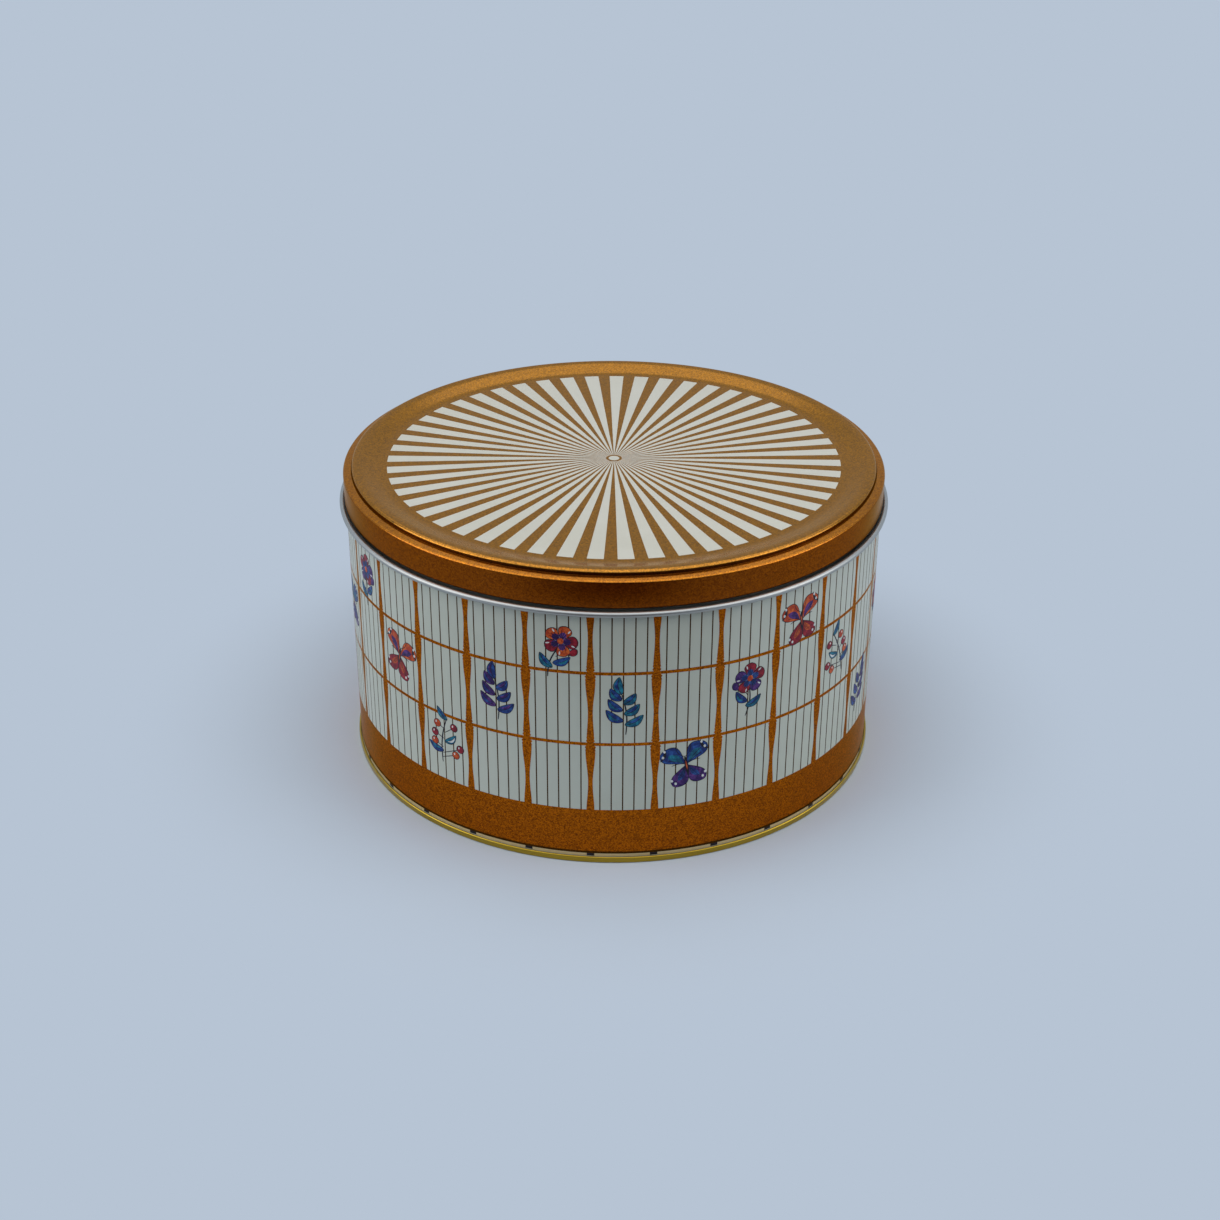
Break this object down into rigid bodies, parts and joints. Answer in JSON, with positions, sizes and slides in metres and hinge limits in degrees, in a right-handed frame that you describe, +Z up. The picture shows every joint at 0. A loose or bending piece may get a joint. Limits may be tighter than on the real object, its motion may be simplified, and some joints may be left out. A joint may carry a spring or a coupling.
{
  "type": "tea caddy",
  "caption": "Round tinplate tea caddy: printed wall with a curled edge, double-seamed gold base, pressed-in neck ring and a slip lid with a sunk panel.",
  "frame": {"origin": "centre of the tin on the floor, under the double seam of the base", "axes": "+Z up along the axis of the tin, -Y towards the front of the print, +Y towards the side seam at the rear, +X to the right seen from the front"},
  "size_m": [0.205, 0.205, 0.1145],
  "materials": {
    "cream_print": "satin cream enamel print on tinplate",
    "copper_print": "satin metallic copper ink with a fine sparkle",
    "tinplate": "bright plain tinplate",
    "gold_lacquer": "clear gold lacquer over bright tinplate",
    "compound": "matt lining compound"
  },
  "bodies": {
    "tin": {"body_wall": "cream_print", "base": "gold_lacquer", "seam_compound": "compound", "neck_ring": "tinplate"},
    "lid": {"lid": "copper_print"}
  },
  "joints": [
    {"name": "lid_lift", "type": "slide", "parent": "tin", "child": "lid", "axis": [0, 0, 1], "range_m": [0, 0.04]}
  ]
}
